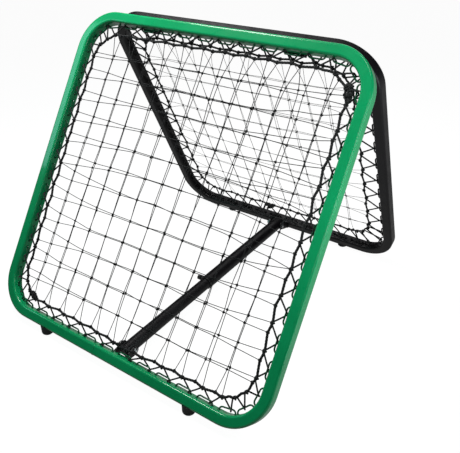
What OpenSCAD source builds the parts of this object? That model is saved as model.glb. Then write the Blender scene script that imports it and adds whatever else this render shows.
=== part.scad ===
// Pitch back rebounder: two square tube frames hinged along their top rails,
// each with a double net laced into it, held open by a telescopic strut.
// X runs along the rails, Y from the front frame to the rear frame, Z up.
// The origin is on the ground at the middle of the footprint. Millimetres.

/* [Front frame] */
// Outer width and height of the front frame
front_size = 760; // [740:5:780]
// Lean of the front frame back from the vertical, degrees
front_lean = 33; // [31:0.5:35]

/* [Rear frame] */
// Outer width and height of the rear frame
rear_size = 708; // [700:2:714]

/* [Tube] */
// Width of the tube across the face that shows the frame's outline
tube_w = 24.5; // [23:0.5:26]
// Depth of the tube from the front of a frame to its back
tube_d = 28; // [27:0.5:30]
// Rounding of the tube section's edges
tube_edge = 5; // [4:0.5:6]
// Wall thickness of the tube
tube_wall = 1.5; // [1.2:0.1:2]
// Outer radius of the frame's bent corners
bend_r = 95; // [90:1:100]

/* [Net] */
// Size of one square mesh
mesh = 50.8; // [49:0.2:51]
// Strand thickness
strand = 2; // [1.6:0.1:2.4]
// Strands each way in the front frame's nets
front_strands = 12; // [11:1:12]
// Strands each way in the rear frame's nets
rear_strands = 10; // [9:1:10]
// Distance from the front frame's outer edge to its border rope
front_rope_inset = 50.5; // [50:0.5:52]
// Distance from the rear frame's outer edge to its border rope
rear_rope_inset = 69; // [68:0.5:71]
// How far the rear net hangs above the middle of its frame
rear_rope_shift = 5; // [0:0.5:6]
// Spacing of the wire lace arches along the rails
arch_pitch = 54; // [53.5:0.1:54.5]
// Diameter of the border rope
rope_d = 5; // [4.5:0.5:6.5]
// Diameter of the lacing cord
lace_d = 4; // [3:0.5:4]

/* [Strut] */
// Outer diameter of the sliding inner tube
inner_tube_d = 29.5; // [29:0.1:29.8]
// Outer diameter of the fixed outer tube
outer_tube_d = 34; // [33.7:0.1:34.5]
// Length of inner tube in view between the front pivot and the outer tube
inner_show = 290; // [280:1:310]
// Length of inner tube held inside the outer tube
inner_overlap = 60; // [45:1:70]
// Travel the slot in the inner tube allows
travel = 200; // [150:5:200]

/* [Feet] */
// Diameter of a rubber foot
foot_d = 28; // [26:0.5:30]
// Height of the lowest tube edge above the ground
foot_lift = 7; // [7:0.5:12]

/* [Hidden] */
$fn = 48;

green = [0.11, 0.60, 0.40];
black = [0.07, 0.07, 0.08];
zinc = [0.62, 0.63, 0.65];
cord_black = [0.05, 0.05, 0.05];

// The hinge axis lies hinge_gap clear of each rail and hinge_drop below the top edges.
hinge_gap = 4;
hinge_drop = 5;
knuckle_r = 3.7;
pin_r = 2;

// Front frame: its local origin is the bottom front edge of the lower rail.
zf = foot_lift + tube_d * sin(front_lean);
// Hinge height and distance behind the front frame's local origin
hz = zf + (front_size - hinge_drop) * cos(front_lean) - (tube_d + hinge_gap) * sin(front_lean);
hy = (front_size - hinge_drop) * sin(front_lean) + (tube_d + hinge_gap) * cos(front_lean);
// The rear frame leans so that its lower rail reaches the same height as the front's.
rear_leg = rear_size - hinge_drop;
rear_lean = acos((hz - foot_lift) / sqrt(rear_leg * rear_leg + hinge_gap * hinge_gap)) - atan(hinge_gap / rear_leg);
ry = hy + rear_leg * sin(rear_lean) + hinge_gap * cos(rear_lean);

// Feet sit under the middle of each lower rail's bottom face.
front_foot_x = 213;
rear_foot_x = 195;
ff_y = tube_d / 2 * cos(front_lean);
rf_y = ry + tube_d / 2 * cos(rear_lean);

// The footprint reaches from the front feet to the rear feet.
y_mid = (ff_y + rf_y) / 2;

// Strut pivots: A on the front frame, B on the rear frame, as (depth, height) in each frame
pa = [56, 34];
pb = [-24.5, 42.5];
// The inner tube's eye has play on its bolt; standing open it bears on one side of it.
play = [-0.9, 1.05];
a_y = -y_mid + pa[0] * cos(front_lean) + pa[1] * sin(front_lean);
a_z = zf - pa[0] * sin(front_lean) + pa[1] * cos(front_lean);
e_y = a_y + play[0];
e_z = a_z + play[1];
b_y = -y_mid + ry + pb[0] * cos(rear_lean) - pb[1] * sin(rear_lean);
b_z = foot_lift + pb[0] * sin(rear_lean) + pb[1] * cos(rear_lean);
strut_len = sqrt((b_y - e_y) * (b_y - e_y) + (b_z - e_z) * (b_z - e_z));
strut_tilt = atan2(b_z - e_z, b_y - e_y);

wall_s = 1.2;
ri = inner_tube_d / 2;
ro = outer_tube_d / 2;
bore_o = ro - wall_s;
clamp_y = inner_show + 10;
pivot_r = 4;
eye_r = 5.7;
// Outer faces of the two brackets' ears
we = ri + 3.8;
wr = ro + 3.3;

echo(hinge = [0, hy - y_mid, hz], rear_lean = rear_lean, A = [0, a_y, a_z], B = [0, b_y, b_z],
     strut_len = strut_len, strut_tilt = strut_tilt, y_mid = y_mid, ry = ry, zf = zf, E = [e_y, e_z]);

// ---------------------------------------------------------------- placing

module in_front() { translate([0, -y_mid, zf]) rotate([-front_lean, 0, 0]) children(); }
module in_rear() { translate([0, ry - y_mid, foot_lift]) rotate([rear_lean, 0, 0]) children(); }
// A frame drawn flat: x across, y up the frame, z towards the ball side
module flat() { rotate([90, 0, 0]) children(); }
// The same thing on each of the four sides of a square frame
module each_side(size) { for (i = [0:3]) translate([0, size / 2, 0]) rotate([0, 0, 90 * i]) translate([0, -size / 2, 0]) children(); }
module in_strut() { translate([0, e_y, e_z]) rotate([strut_tilt, 0, 0]) children(); }
// A cylinder along X from x0 to x1
module bar_x(x0, x1, r) { translate([x0, 0, 0]) rotate([0, 90, 0]) cylinder(r = r, h = x1 - x0); }
// A cylinder along Y from y0 to y1
module bar_y(y0, y1, r) { translate([0, y0, 0]) rotate([-90, 0, 0]) cylinder(r = r, h = y1 - y0); }

// ---------------------------------------------------------------- profiles

module rounded(x, y, r) {
  square([x - 2 * r, y], center = true);
  square([x, y - 2 * r], center = true);
  for (i = [-1, 1], j = [-1, 1]) translate([i * (x / 2 - r), j * (y / 2 - r)]) circle(r = r);
}

// Sweeps a profile round a square path with rounded corners, centred on the origin
module loop(half, r) {
  for (i = [0:3]) rotate([0, 0, 90 * i]) {
    translate([-(half - r), -half, 0]) rotate([90, 0, 90]) linear_extrude(2 * (half - r)) children();
    translate([half - r, -(half - r), 0]) rotate([0, 0, -90]) rotate_extrude(angle = 90) translate([r, 0]) children();
  }
}

module tube_loop(size) {
  translate([0, size / 2, -tube_d / 2]) difference() {
    loop(size / 2 - tube_w / 2, bend_r - tube_w / 2) rounded(tube_w, tube_d, tube_edge);
    loop(size / 2 - tube_w / 2, bend_r - tube_w / 2)
      rounded(tube_w - 2 * tube_wall, tube_d - 2 * tube_wall, tube_edge - tube_wall);
  }
}

// ---------------------------------------------------------------- lacing

// A lace arch is a low wire staple: width between its feet's middles, its height and its wire's radius
arch_w = 38;
arch_h = 8;
arch_wire = 1.75;
arch_sunk = 0.5;

// Half of one side's length along the tube's inner face, to the middle of a bend
function corner_u(size) = size / 2 - bend_r + (bend_r - tube_w) * PI / 4;
// The point of the bottom side's inner face that lies u along it from its middle
function face_at(size, u) = let (a = size / 2 - bend_r, r = bend_r - tube_w, v = abs(u), t = v > a ? (v - a) / r * 180 / PI : 0)
  [sign(u) * (min(v, a) + r * sin(t)), bend_r - r * cos(t)];
// Middle and direction of the chord between an arch's two feet
function arch_mid(size, u) = (face_at(size, u - arch_w / 2) + face_at(size, u + arch_w / 2)) / 2;
function arch_dir(size, u) = unit(face_at(size, u + arch_w / 2) - face_at(size, u - arch_w / 2));

// Places of the arches on one side, and of the lacing's turns through them
front_arches = concat([for (k = [0:11]) (k - 5.5) * arch_pitch], [corner_u(front_size)]);
front_apexes = concat([for (k = [0:11]) (k - 5.5) * mesh], [corner_u(front_size)]);
rear_bend_u = rear_size / 2 - bend_r + (bend_r - tube_w) * PI / 8;
rear_arches = concat([-rear_bend_u], [for (k = [0:9]) (k - 4.5) * arch_pitch], [rear_bend_u]);
rear_apexes = concat([-rear_bend_u], [for (k = [0:9]) (k - 4.5) * mesh], [rear_bend_u]);

module wire_arch() {
  s = arch_w / 2 - arch_h;
  translate([0, arch_h, 0]) bar_x(-s, s, arch_wire);
  for (i = [0, 1]) mirror([i, 0, 0]) translate([s, 0, 0]) rotate_extrude(angle = 90, $fn = 28) translate([arch_h, 0]) circle(r = arch_wire, $fn = 16);
}

module lace_loops(size, us) {
  each_side(size) for (u = us) {
    m = arch_mid(size, u);
    d = arch_dir(size, u);
    translate([m[0], m[1], -tube_d / 2]) rotate([0, 0, atan2(d[1], d[0])]) translate([0, -arch_sunk, 0]) wire_arch();
  }
}

// Turns a point of the bottom side onto side i, about the frame's middle
function on_side(p, i, size) = let (qx = p[0], qy = p[1] - size / 2, c = cos(90 * i), s = sin(90 * i))
  [qx * c - qy * s, qx * s + qy * c + size / 2, p[2]];
// The rope's point and inward direction nearest a point f of the bottom side
function rope_by(size, inset, rr, f) = let (a = size / 2 - inset - rr, v = abs(f[0]))
  v <= a ? [[f[0], inset], [0, 1]] :
  let (t = atan2(v - a, inset + rr - f[1]), g = sign(f[0])) [[g * (a + rr * sin(t)), inset + rr - rr * cos(t)], [-g * sin(t), cos(t)]];
// One turn of the lacing: over the rope at node, then through the arch at u
function rope_turn(size, inset, rr, u) =
  let (w = rope_d / 2 + lace_d / 2 + 0.2, r = rope_by(size, inset, rr, face_at(size, u)), c = r[0], n = r[1], t = [n[1], -n[0]])
  [[each (c - 1.5 * t), w], [each (c + w * n), 0], [each (c + 1.5 * t), -w]];
function arch_turn(size, u, apex) =
  let (m = arch_mid(size, u), t = arch_dir(size, u), n = [-t[1], t[0]], room = arch_h - arch_wire - lace_d / 2 - 0.1,
       s = arch_w / 2 - arch_h, off = max(-s - 3.6, min(s + 3.6, apex - u)),
       h = -arch_sunk + (abs(off) < s ? room : sqrt(room * room - (abs(off) - s) * (abs(off) - s))), p = m + off * t + h * n)
  [[each p, -4], [each p, 4]];
function route(size, inset, rr, shift, arches, apexes) = let (n = len(apexes), whole = 2 * corner_u(size))
  [for (i = [0:3], j = [0:n - 1]) let (before = j > 0 ? apexes[j - 1] : apexes[n - 1] - whole)
    each concat(
      [for (p = rope_turn(size, inset, rr, (before + apexes[j]) / 2)) on_side(p, i, size) + [0, shift, 0]],
      [for (p = arch_turn(size, arches[j], apexes[j])) on_side(p, i, size)])];

function unit(v) = v / norm(v);
function heading(p, i) = unit(unit(p[min(i + 1, len(p) - 1)] - p[min(i, len(p) - 2)]) + unit(p[max(i, 1)] - p[max(i - 1, 0)]));
function square_off(v, t) = unit(v - (v * t) * t);
// A round cord swept along an open line of points
module cord(p, r, n = 6) {
  normals = [for (i = 0, v = square_off([0.13, 0.2, 1], heading(p, 0)); i < len(p);
    i = i + 1, v = i < len(p) ? square_off(v, heading(p, i)) : v) v];
  pts = [for (i = [0:len(p) - 1]) let (t = heading(p, i), u = normals[i], w = cross(t, u))
    for (k = [0:n - 1]) p[i] + r * (cos(360 * k / n) * u + sin(360 * k / n) * w)];
  m = len(p);
  polyhedron(points = pts, convexity = 10, faces = concat(
    [[for (k = [0:n - 1]) k]],
    [[for (k = [n - 1:-1:0]) (m - 1) * n + k]],
    [for (i = [0:m - 2], k = [0:n - 1]) [i * n + k, (i + 1) * n + k, (i + 1) * n + (k + 1) % n]],
    [for (i = [0:m - 2], k = [0:n - 1]) [i * n + k, (i + 1) * n + (k + 1) % n, i * n + (k + 1) % n]]));
}

module lacing(size, inset, rr, shift, arches, apexes) {
  translate([0, 0, -tube_d / 2]) cord(route(size, inset, rr, shift, arches, apexes), lace_d / 2);
}

module border_rope(size, inset, rr, shift = 0) {
  translate([0, size / 2 + shift, -tube_d / 2]) loop(size / 2 - inset, rr) circle(r = rope_d / 2, $fn = 24);
}

// A flat net of n strands each way inside the rope, its middle plane at height z
module net(size, inset, rr, n, z, shift = 0) {
  reach = size / 2 - inset - rope_d / 2 + 0.6;
  cr = rr - rope_d / 2 + 0.6;
  translate([0, size / 2, z - strand / 2]) linear_extrude(strand) intersection() {
    translate([0, shift]) rounded(2 * reach, 2 * reach, cr);
    union() for (k = [0:n - 1]) {
      translate([(k - (n - 1) / 2) * mesh, 0]) square([strand, 2 * reach + 20], center = true);
      translate([0, (k - (n - 1) / 2) * mesh]) square([2 * reach + 10, strand], center = true);
    }
  }
}

// A knot is a barrel of turns wound round the rope, which runs at angle a here
module knot(x, y, r, l, a) {
  translate([x, y, -tube_d / 2]) rotate([0, 0, a - 90]) rotate([90, 0, 0]) rotate_extrude() {
    translate([0, -l / 2]) square([r - 4, l]);
    translate([0, -l / 2 + 4]) square([r, l - 8]);
    for (i = [-1, 1]) translate([r - 4, i * (l / 2 - 4)]) circle(r = 4);
  }
}

front_rope_r = 65;
rear_rope_r = 60;

// ---------------------------------------------------------------- feet

// A foot stands upright, with a saddle cut to the tube and a peg pressed up into it.
// Drawn from the middle of the rail's bottom face.
module foot(lean) {
  h = foot_lift + tube_d / 2 * sin(abs(lean));
  difference() {
    intersection() {
      translate([0, 0, -h]) rotate_extrude() {
        translate([0, 6]) square([foot_d / 2, 40]);
        square([foot_d / 2 - 6, 10]);
        translate([foot_d / 2 - 6, 6]) circle(r = 6);
      }
      rotate([-lean, 0, 0]) translate([-30, -40, -60]) cube([60, 80, 61.2]);
    }
    rotate([-lean, 0, 0]) translate([0, 0, tube_w / 2]) rotate([90, 0, 90])
      translate([0, 0, -40]) linear_extrude(80) rounded(tube_d, tube_w, tube_edge);
  }
  rotate([-lean, 0, 0]) translate([0, 0, -0.5]) cylinder(r = 3.95, h = 9.5);
}

module foot_holes(x) { for (i = [-1, 1]) translate([i * x, tube_d / 2, -2]) cylinder(r = 4, h = 5); }

// ---------------------------------------------------------------- hinge

hinge_x = 190;
leaf_t = 1.8;
leaf_h = 24;
rivet_dx = 15;

module knuckles(list) {
  for (i = [-1, 1], k = list) translate([i * hinge_x, hy - y_mid, hz]) bar_x(-25 + 10 * k + 0.2, -15 + 10 * k - 0.2, knuckle_r);
}
module knuckle_bores() { for (i = [-1, 1]) translate([i * hinge_x, hy - y_mid, hz]) bar_x(-26, 26, pin_r + 0.05); }
// Room cut out of one leaf for the other leaf's knuckles
module knuckle_room(list) {
  for (i = [-1, 1], k = list) translate([i * hinge_x, hy - y_mid, hz]) bar_x(-25 + 10 * k - 0.2, -15 + 10 * k + 0.2, knuckle_r + 0.5);
}
module rivet(h) {
  // Shank along +Y from the tube wall, head on the leaf's outside
  rotate([-90, 0, 0]) { cylinder(r = 2, h = h); translate([0, 0, h]) cylinder(r1 = 3.8, r2 = 2.6, h = 1.1); }
}
module rivet_places(s) { for (i = [-1, 1], j = [-1, 1]) translate([i * hinge_x + j * rivet_dx, 0, s]) children(); }

// A low domed bolt head, its flat side at 0 and its dome towards +X
module dome_head() {
  rotate([0, 90, 0]) rotate_extrude() intersection() {
    square([7, 4.6]);
    translate([0, 4.6 - 9]) circle(r = 9);
  }
}

// ---------------------------------------------------------------- strut bracket

// Where a line from p touches a circle about c, on the side given by sgn
function touch(p, c, r, sgn) = let (v = p - c, l = norm(v), a = atan2(v[1], v[0]) + sgn * acos(r / l)) c + r * [cos(a), sin(a)];

module ear(p0, p1, c, r) {
  polygon([p0, p1, touch(p1, c, r, -1), c, touch(p0, c, r, 1)]);
  translate(c) circle(r = r);
}

// ---------------------------------------------------------------- nodes: front frame

module front_tube_frame() color(green) in_front() difference() {
  flat() tube_loop(front_size);
  foot_holes(front_foot_x);
  rivet_places(front_size - hinge_drop - 15) translate([0, tube_d - 3, 0]) rotate([-90, 0, 0]) cylinder(r = 2.05, h = 5);
}
module front_lace_loops() color(green) in_front() flat() lace_loops(front_size, front_arches);
module front_net_face() color(cord_black) in_front() flat() net(front_size, front_rope_inset, front_rope_r, front_strands, -tube_d / 2 + 1.6);
module front_net_back() color(cord_black) in_front() flat() net(front_size, front_rope_inset, front_rope_r, front_strands, -tube_d / 2 - 1.6);
module front_border_rope() color(cord_black) in_front() flat() border_rope(front_size, front_rope_inset, front_rope_r);
module front_lacing_cord() color(cord_black) in_front() flat() lacing(front_size, front_rope_inset, front_rope_r, 0, front_arches, front_apexes);
module front_rope_knots() color(cord_black) in_front() flat() {
  knot(333.5, 666, 9, 38, 100);
  knot(-284, 53, 9, 26, -14);
}
module front_rubber_feet() color(black) for (i = [-1, 1])
  translate([i * front_foot_x, ff_y - y_mid, zf - tube_d / 2 * sin(front_lean)]) foot(front_lean);

module strut_bracket_front() color(black) in_front() difference() {
  union() {
    translate([-we, tube_d, 3.5]) cube([2 * we, 3, 18]);
    for (x = [-we, we - 3]) translate([x, 0, 0]) rotate([90, 0, 90]) linear_extrude(3)
      ear([tube_d, 3.5], [tube_d, 21.5], pa, 11.5);
  }
  translate([0, pa[0], pa[1]]) bar_x(-we - 4, we + 4, pivot_r + 0.05);
}
module strut_bolt_front() color(zinc) in_front() translate([0, pa[0], pa[1]]) {
  bar_x(-we - 10.5, we + 1.5, pivot_r);
  translate([we + 1.2, 0, 0]) dome_head();
}
module strut_nut_front() color(zinc) in_front() translate([0, pa[0], pa[1]]) difference() {
  translate([-we - 8.7, 0, 0]) rotate([0, 90, 0]) cylinder(r = 7.5, h = 7.4, $fn = 6);
  bar_x(-we - 12, -we, pivot_r + 0.02);
}
module strut_washers_front() color(zinc) in_front() translate([0, pa[0], pa[1]])
  for (x = [we, -we - 1.2]) difference() { bar_x(x, x + 1.2, 8); bar_x(x - 1, x + 3, pivot_r + 0.2); }

module hinge_leaves_front() color(black) difference() {
  union() {
    in_front() for (i = [-1, 1]) translate([i * hinge_x - 25, tube_d, front_size - hinge_drop - leaf_h]) cube([50, leaf_t, leaf_h]);
    knuckles([0, 2, 4]);
  }
  knuckle_bores();
  knuckle_room([1, 3]);
  in_front() rivet_places(front_size - hinge_drop - 15) translate([0, tube_d - 1, 0]) rotate([-90, 0, 0]) cylinder(r = 2.05, h = 5);
}
module hinge_pins() color(zinc) for (i = [-1, 1]) translate([i * hinge_x, hy - y_mid, hz]) {
  bar_x(-26, 26, pin_r);
  bar_x(25.2, 26.6, 3.2);
  bar_x(-26.6, -25.2, 3.2);
}
module hinge_rivets_front() color(zinc) in_front() rivet_places(front_size - hinge_drop - 15)
  translate([0, tube_d - tube_wall, 0]) rivet(tube_wall + leaf_t);

// ---------------------------------------------------------------- nodes: rear frame

module rear_tube_frame() color(black) in_rear() difference() {
  flat() tube_loop(rear_size);
  foot_holes(rear_foot_x);
  rivet_places(rear_size - hinge_drop - 15) translate([0, -2, 0]) rotate([-90, 0, 0]) cylinder(r = 2.05, h = 5);
}
module rear_lace_loops() color(black) in_rear() flat() lace_loops(rear_size, rear_arches);
module rear_net_face() color(cord_black) in_rear() flat() net(rear_size, rear_rope_inset, rear_rope_r, rear_strands, -tube_d / 2 + 1.6, rear_rope_shift);
module rear_net_back() color(cord_black) in_rear() flat() net(rear_size, rear_rope_inset, rear_rope_r, rear_strands, -tube_d / 2 - 1.6, rear_rope_shift);
module rear_border_rope() color(cord_black) in_rear() flat() border_rope(rear_size, rear_rope_inset, rear_rope_r, rear_rope_shift);
module rear_lacing_cord() color(cord_black) in_rear() flat() lacing(rear_size, rear_rope_inset, rear_rope_r, rear_rope_shift, rear_arches, rear_apexes);
module rear_rope_knots() color(cord_black) in_rear() flat() knot(-40, rear_rope_inset + rear_rope_shift - 3, 8, 26, 0);
module rear_rubber_feet() color(black) for (i = [-1, 1])
  translate([i * rear_foot_x, rf_y - y_mid, foot_lift + tube_d / 2 * sin(rear_lean)]) foot(-rear_lean);

module hinge_leaves_rear() color(black) difference() {
  union() {
    in_rear() for (i = [-1, 1]) translate([i * hinge_x - 25, -leaf_t, rear_size - hinge_drop - leaf_h]) cube([50, leaf_t, leaf_h]);
    knuckles([1, 3]);
  }
  knuckle_bores();
  knuckle_room([0, 2, 4]);
  in_rear() rivet_places(rear_size - hinge_drop - 15) translate([0, -leaf_t - 1, 0]) rotate([-90, 0, 0]) cylinder(r = 2.05, h = 5);
}
module hinge_rivets_rear() color(zinc) in_rear() rivet_places(rear_size - hinge_drop - 15)
  translate([0, tube_wall, 0]) rotate([0, 0, 180]) rivet(tube_wall + leaf_t);

module strut_bracket_rear() color(black) in_rear() difference() {
  union() {
    translate([-wr, -3, 3.5]) cube([2 * wr, 3, 18]);
    for (x = [-wr, wr - 3]) translate([x, 0, 0]) rotate([90, 0, 90]) linear_extrude(3)
      ear([0, 21.5], [0, 3.5], pb, 12);
  }
  translate([0, pb[0], pb[1]]) bar_x(-wr - 3, wr + 3, pivot_r + 0.02);
}
module strut_bolt_rear() color(zinc) in_rear() translate([0, pb[0], pb[1]]) {
  bar_x(-wr - 9.3, wr + 0.3, pivot_r);
  translate([wr, 0, 0]) dome_head();
}
module strut_nut_rear() color(zinc) in_rear() translate([0, pb[0], pb[1]]) difference() {
  translate([-wr - 7.4, 0, 0]) rotate([0, 90, 0]) cylinder(r = 7.5, h = 7.4, $fn = 6);
  bar_x(-wr - 10, -wr + 1, pivot_r + 0.02);
}

// ---------------------------------------------------------------- nodes: strut

module strut_outer_tube() color(black) in_strut() difference() {
  bar_y(inner_show, strut_len + 10, ro);
  bar_y(inner_show - 1, strut_len + 11, bore_o);
  translate([0, strut_len, 0]) bar_x(-22, 22, pivot_r + 0.05);
  translate([0, clamp_y, 0]) bar_x(-22, -5, 4.7);
}
// Plastic guide in the outer tube's mouth, with a collar outside it
module strut_guide_sleeve() color(black) in_strut() difference() {
  union() {
    bar_y(inner_show - 3, inner_show, ro);
    bar_y(inner_show - 1, inner_show + 30, bore_o - 0.02);
  }
  bar_y(inner_show - 4, inner_show + 31, ri + 0.06);
  translate([0, clamp_y, 0]) bar_x(-22, -5, 4.7);
}
module clamp_boss() color(black) in_strut() translate([0, clamp_y, 0]) difference() {
  union() { bar_x(-ro - 5.8, -ro + 3, 5.2); bar_x(-ro - 2.9, -ro + 3, 7.2); }
  bar_y(-20, 20, ro);
  bar_x(-ro - 8, -10, 3.05);
  bar_x(-ro - 2.3, -10, 4.7);
}
module strut_rear_plug() color(black) in_strut() difference() {
  union() {
    bar_y(strut_len - 14, strut_len + 10.5, bore_o - 0.03);
    bar_y(strut_len + 10, strut_len + 12.5, ro);
  }
  translate([0, strut_len, 0]) bar_x(-22, 22, pivot_r + 0.05);
}

// The slot runs between the two ends of the strut's travel and its ends are the stops.
slot_front = clamp_y - travel;
module strut_inner_tube() color(black) in_strut() difference() {
  bar_y(-13, inner_show + inner_overlap, ri);
  bar_y(-14, inner_show + inner_overlap + 1, ri - wall_s);
  bar_x(-22, 22, eye_r);
  translate([-20, slot_front, -3.3]) cube([15, clamp_y - slot_front, 6.6]);
  translate([0, slot_front, 0]) bar_x(-20, -5, 3.3);
  translate([0, clamp_y, 0]) bar_x(-20, -5, 3.3);
}
module strut_front_plug() color(black) in_strut() difference() {
  union() {
    rotate([90, 0, 0]) rotate_extrude() intersection() {
      translate([0, 13]) square([ri, 4]);
      translate([0, -2]) circle(r = 20.9);
    }
    bar_y(-13.5, 14, ri - wall_s - 0.03);
  }
  bar_x(-22, 22, eye_r);
}
module strut_slide_plug() color(black) in_strut() difference() {
  union() {
    bar_y(inner_show + inner_overlap, inner_show + inner_overlap + 3, bore_o - 0.1);
    bar_y(inner_show + inner_overlap - 16, inner_show + inner_overlap + 1, ri - wall_s - 0.03);
  }
  bar_y(inner_show + inner_overlap - 20, inner_show + inner_overlap + 5, 7);
}

// ---------------------------------------------------------------- nodes: clamp

module clamp_nose() color("white") in_strut() translate([0, clamp_y, 0]) {
  bar_x(-ri - 1.75, -ri - 0.15, 4.6);
  bar_x(-ri - 0.2, -ri + wall_s - 0.1, 3);
}
module clamp_screw() color(zinc) in_strut() translate([0, clamp_y, 0]) bar_x(-ro - 13.5, -ri - 1.8, 3);
module clamp_knob() color(black) in_strut() translate([0, clamp_y, 0]) difference() {
  union() {
    bar_x(-ro - 15.2, -ro - 7.8, 6.3);
    bar_x(-ro - 7.9, -ro - 6.1, 4.6);
    rotate([0, -90, 0]) translate([0, 0, ro + 15.1]) rotate_extrude() intersection() {
      square([6.3, 2]);
      translate([0, 2 - 12]) circle(r = 12);
    }
  }
  bar_x(-ro - 13.6, -ro, 3);
  for (k = [0:7]) rotate([45 * k, 0, 0]) translate([0, 0, 7.35]) bar_x(-ro - 20, -ro - 8.2, 1.7);
}

front_tube_frame();
front_lace_loops();
front_net_face();
front_net_back();
front_border_rope();
front_lacing_cord();
front_rope_knots();
front_rubber_feet();
strut_bracket_front();
strut_bolt_front();
strut_nut_front();
strut_washers_front();
hinge_leaves_front();
hinge_pins();
hinge_rivets_front();
rear_tube_frame();
rear_lace_loops();
rear_net_face();
rear_net_back();
rear_border_rope();
rear_lacing_cord();
rear_rope_knots();
rear_rubber_feet();
hinge_leaves_rear();
hinge_rivets_rear();
strut_bracket_rear();
strut_outer_tube();
strut_guide_sleeve();
clamp_boss();
strut_rear_plug();
strut_bolt_rear();
strut_nut_rear();
strut_inner_tube();
strut_front_plug();
strut_slide_plug();
clamp_nose();
clamp_screw();
clamp_knob();
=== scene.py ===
import bpy, math
import numpy as np
from mathutils import Matrix


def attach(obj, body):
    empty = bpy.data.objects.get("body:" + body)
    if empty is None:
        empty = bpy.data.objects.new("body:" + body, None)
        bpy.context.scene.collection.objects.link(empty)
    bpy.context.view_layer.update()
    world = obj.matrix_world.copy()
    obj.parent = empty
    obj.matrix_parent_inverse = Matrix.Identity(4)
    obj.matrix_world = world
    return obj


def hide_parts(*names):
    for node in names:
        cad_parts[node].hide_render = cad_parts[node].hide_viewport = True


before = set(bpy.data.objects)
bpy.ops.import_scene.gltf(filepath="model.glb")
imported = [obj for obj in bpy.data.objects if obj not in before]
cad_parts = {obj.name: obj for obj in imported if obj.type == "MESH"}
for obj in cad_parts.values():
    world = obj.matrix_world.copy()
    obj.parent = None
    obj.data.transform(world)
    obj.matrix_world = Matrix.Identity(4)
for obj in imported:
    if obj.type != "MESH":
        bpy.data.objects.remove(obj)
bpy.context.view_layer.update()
rng = np.random.RandomState(11)

# ------------------------------------------------------------------ the frame's numbers
AL = math.radians(33.0)
D, W, R, TW = 0.028, 0.760, 0.708, 0.0245
LIFT, GAP, DROP, BEND = 0.007, 0.004, 0.005, 0.095
MESH, ARCH, ROPE_R, LACE_R = 0.0508, 0.054, 0.0028, 0.00175
STRAND_R = {"front": 0.00080, "rear": 0.00048}
ZF = LIFT + D * math.sin(AL)
HZ = ZF + (W - DROP) * math.cos(AL) - (D + GAP) * math.sin(AL)
HY = (W - DROP) * math.sin(AL) + (D + GAP) * math.cos(AL)
LEG = R - DROP
BE = math.acos((HZ - LIFT) / math.hypot(LEG, GAP)) - math.atan(GAP / LEG)
RY = HY + LEG * math.sin(BE) + GAP * math.cos(BE)
YM = (D / 2 * math.cos(AL) + RY + D / 2 * math.cos(BE)) / 2
UP = np.array([0.0, 0.0, 1.0])


class Side:
    """One square frame: x across, s up the frame, q from its near face backwards."""

    def __init__(self, name, body, size, origin, es, eq, inset, shift, rope_r, strands, sag):
        self.name, self.body, self.size, self.shift = name, body, size, shift
        self.o, self.ex, self.es, self.eq = np.array(origin), np.array([1.0, 0, 0]), np.array(es), np.array(eq)
        self.inset, self.rope_r, self.n, self.sag = inset, rope_r, strands, sag

    def to(self, x, s, q):
        x, s, q = np.broadcast_arrays(x, s, q)
        return self.o + x[..., None] * self.ex + s[..., None] * self.es + q[..., None] * self.eq


FRONT = Side("front", "front_frame", W, (0, -YM, ZF), (0, math.sin(AL), math.cos(AL)),
             (0, math.cos(AL), -math.sin(AL)), 0.0505, 0.0, 0.065, 12, 0.006)
REAR = Side("rear", "rear_frame", R, (0, RY - YM, LIFT), (0, -math.sin(BE), math.cos(BE)),
            (0, math.cos(BE), math.sin(BE)), 0.069, 0.005, 0.060, 10, -0.006)


class Loop:
    """A rounded square path in a frame's plane, from the middle of the bottom side, anticlockwise."""

    def __init__(self, size, inset, r, shift=0.0):
        self.shift = shift
        h = size / 2 - inset
        a = h - r
        self.length = 8 * a + 2 * math.pi * r
        self.size, self.h, self.a, self.r = size, h, a, r

    def at(self, u):
        u = np.mod(np.asarray(u, float), self.length)
        side = 2 * self.a + math.pi * self.r / 2
        v = u + self.a
        i = np.floor(v / side)
        v = v - i * side
        i = np.mod(i, 4)
        on_arc = v > 2 * self.a
        th = np.where(on_arc, (v - 2 * self.a) / self.r, 0.0)
        x = np.where(on_arc, self.a + self.r * np.sin(th), v - self.a)
        y = np.where(on_arc, -self.h + self.r * (1 - np.cos(th)), -self.h)
        tx, ty = np.cos(th), np.sin(th)
        c, s = np.cos(i * math.pi / 2), np.sin(i * math.pi / 2)
        X, Y = x * c - y * s, x * s + y * c + self.size / 2 + self.shift
        TX, TY = tx * c - ty * s, tx * s + ty * c
        return X, Y, TX, TY, -TY, TX


# ------------------------------------------------------------------ mesh building
class Build:
    def __init__(self):
        self.v, self.f, self.uv, self.n = [], [], [], 0

    def add(self, v, f, uv):
        self.v.append(v)
        self.f.append(f + self.n)
        self.uv.append(uv)
        self.n += len(v)

    def obj(self, name, smooth=True):
        v, f, uv = np.concatenate(self.v), np.concatenate(self.f), np.concatenate(self.uv)
        me = bpy.data.meshes.new(name)
        me.vertices.add(len(v))
        me.vertices.foreach_set("co", v.astype(np.float32).ravel())
        me.loops.add(len(f) * 4)
        me.loops.foreach_set("vertex_index", f.astype(np.int32).ravel())
        me.polygons.add(len(f))
        me.polygons.foreach_set("loop_start", np.arange(0, len(f) * 4, 4, dtype=np.int32))
        me.update(calc_edges=True)
        me.validate()
        lay = me.uv_layers.new(name="UVMap")
        if len(lay.data) == len(f) * 4:
            lay.data.foreach_set("uv", uv.astype(np.float32).ravel())
        me.polygons.foreach_set("use_smooth", np.full(len(me.polygons), smooth))
        o = bpy.data.objects.new(name, me)
        bpy.context.scene.collection.objects.link(o)
        return o


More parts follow.
